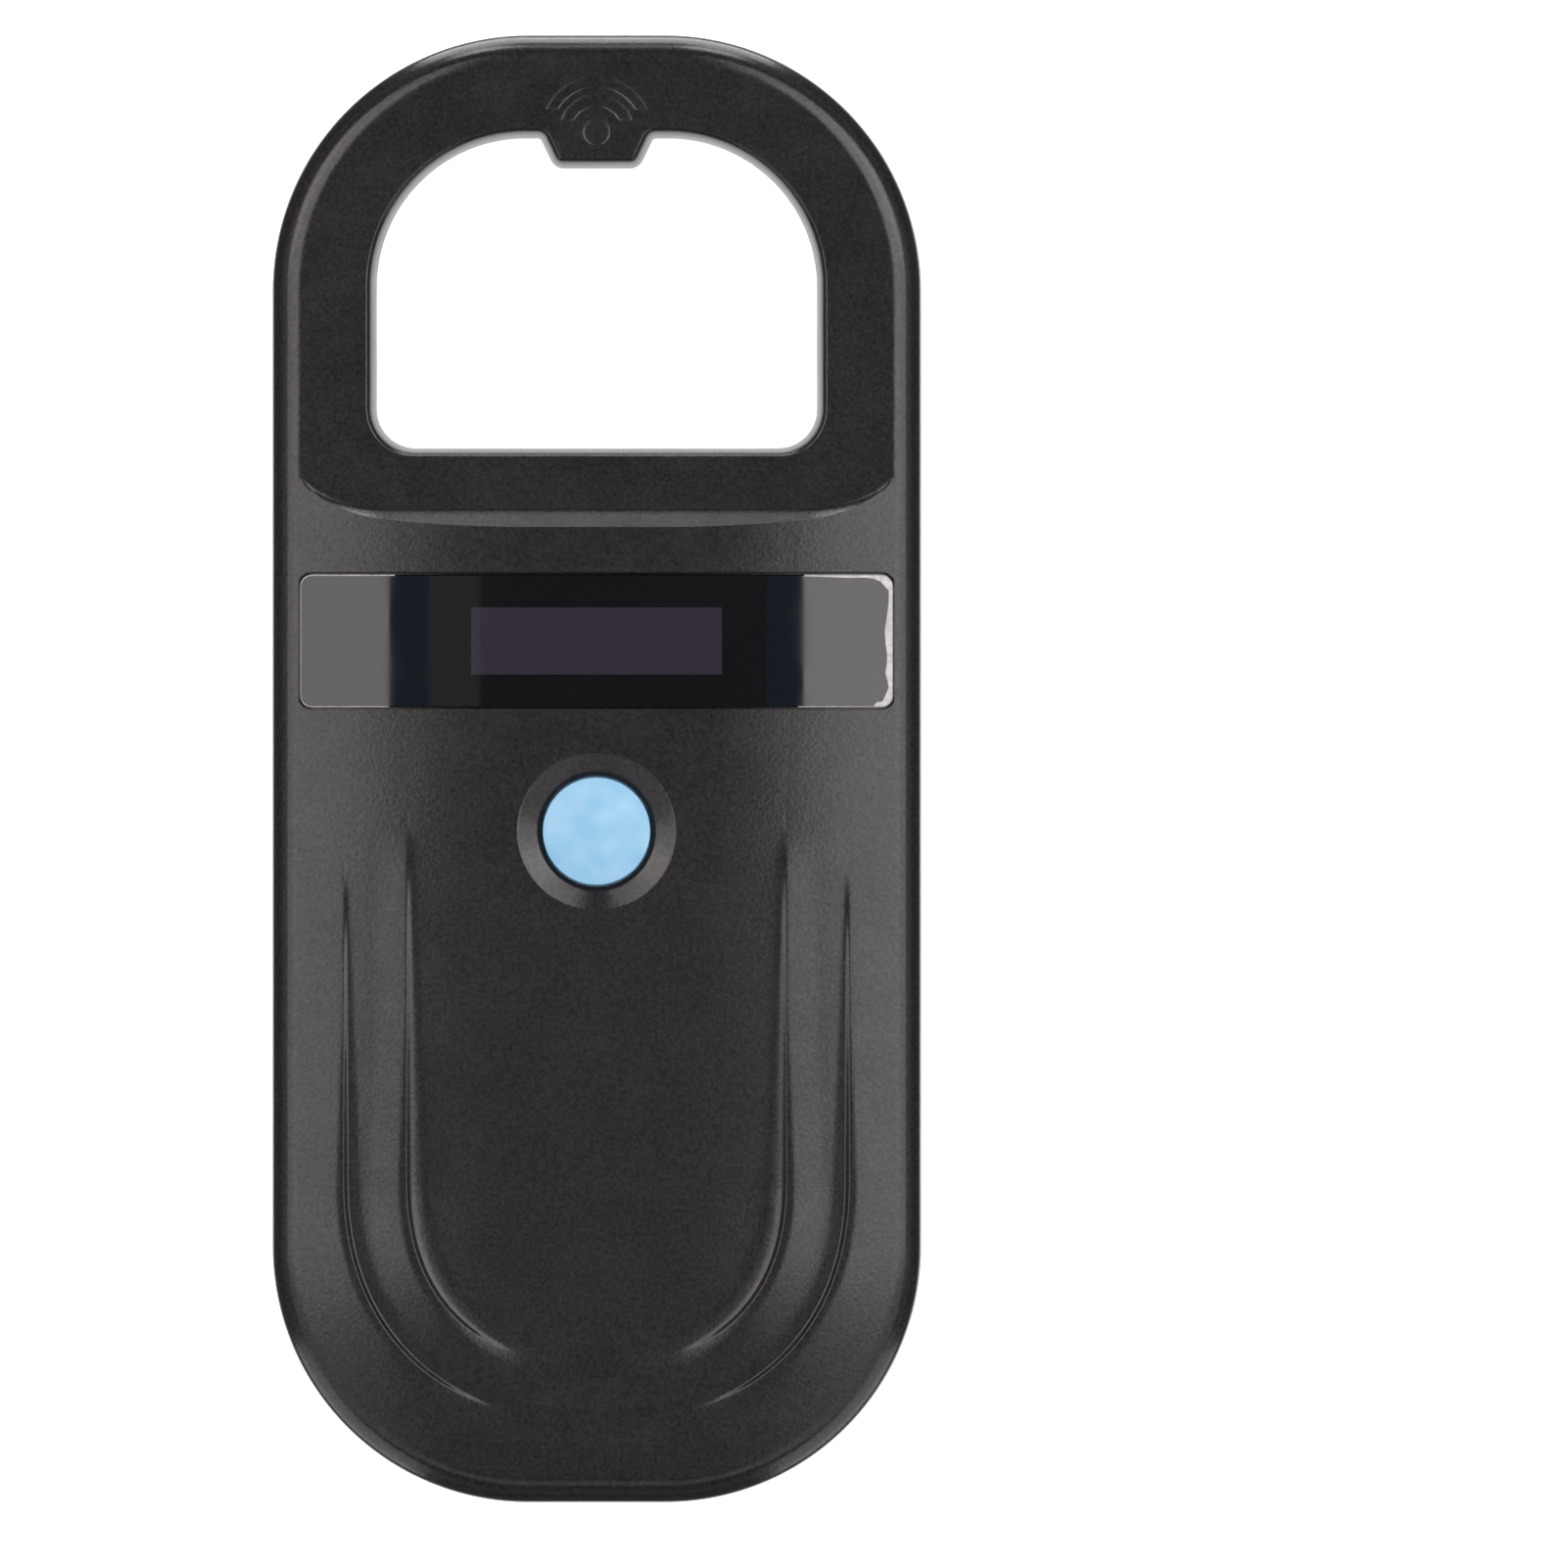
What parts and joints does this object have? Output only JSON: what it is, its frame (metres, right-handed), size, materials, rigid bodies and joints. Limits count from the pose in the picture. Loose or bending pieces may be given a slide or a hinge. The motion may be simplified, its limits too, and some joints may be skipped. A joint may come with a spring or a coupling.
{
  "type": "microchip scanner",
  "caption": "Handheld animal microchip reader: flat round-ended body with a finger loop that holds the antenna, a glossy display window, one round push button and a charging socket.",
  "frame": {"origin": "on the flat back, under the middle of the scanner's outline", "axes": "+X to the scanner's right as its face is seen, +Y along its length towards the antenna loop, +Z out of its face"},
  "size_m": [0.0708, 0.16, 0.0215],
  "materials": {
    "shell_plastic": "fine spark-eroded matte, near black",
    "window_gloss": "polished black window",
    "adhesive": "adhesive tape",
    "panel_glass": "dark display glass",
    "flex_film": "amber polyimide film",
    "foam": "soft black foam",
    "button_blue": "satin light blue",
    "board": "green solder mask",
    "component_black": "moulded black",
    "plunger_cream": "cream nylon",
    "capacitor_ceramic": "unglazed",
    "steel": "plated",
    "copper": "enamelled copper winding",
    "wire_amber": "sleeved lead",
    "wire_red": "insulated wire",
    "wire_black": "insulated wire",
    "cell_foil": "silver pouch foil",
    "label": "blank label"
  },
  "bodies": {
    "housing": {"front_shell": "shell_plastic", "rear_shell": "shell_plastic", "display_lens": "window_gloss", "lens_tape": "adhesive", "oled_panel": "panel_glass", "oled_flex": "flex_film", "oled_foam_pad": "foam", "main_pcb": "board", "tact_switch_body": "component_black", "mcu_chip": "component_black", "rf_reader_chip": "component_black", "charger_chip": "component_black", "crystal": "steel", "power_inductor": "component_black", "tuning_capacitor_1": "capacitor_ceramic", "tuning_capacitor_2": "capacitor_ceramic", "buzzer": "component_black", "usb_socket": "steel", "usb_tongue": "component_black", "antenna_coil": "copper", "coil_lead_left": "wire_amber", "coil_lead_right": "wire_amber", "battery_foam_pad": "foam", "battery_cell": "cell_foil", "battery_connector": "plunger_cream", "battery_wire_positive": "wire_red", "battery_wire_negative": "wire_black", "rear_label": "label", "shell_screw_1": "steel", "shell_screw_2": "steel", "shell_screw_3": "steel", "shell_screw_4": "steel", "shell_screw_5": "steel", "shell_screw_6": "steel", "pcb_screw_1": "steel", "pcb_screw_2": "steel", "pcb_screw_3": "steel", "pcb_screw_4": "steel"},
    "button": {"button_cap": "button_blue"},
    "switch_plunger": {"tact_switch_plunger": "plunger_cream"}
  },
  "joints": [
    {"name": "button_press", "type": "slide", "parent": "housing", "child": "button", "axis": [0, 0, -1], "range_m": [0, 0.0003], "stiffness_N_per_m": 1500},
    {"name": "plunger_press", "type": "slide", "parent": "housing", "child": "switch_plunger", "axis": [0, 0, -1], "range_m": [0, 0.0003]}
  ],
  "couplings": [
    {"joint": "plunger_press", "follows": "button_press", "ratio": 1}
  ]
}
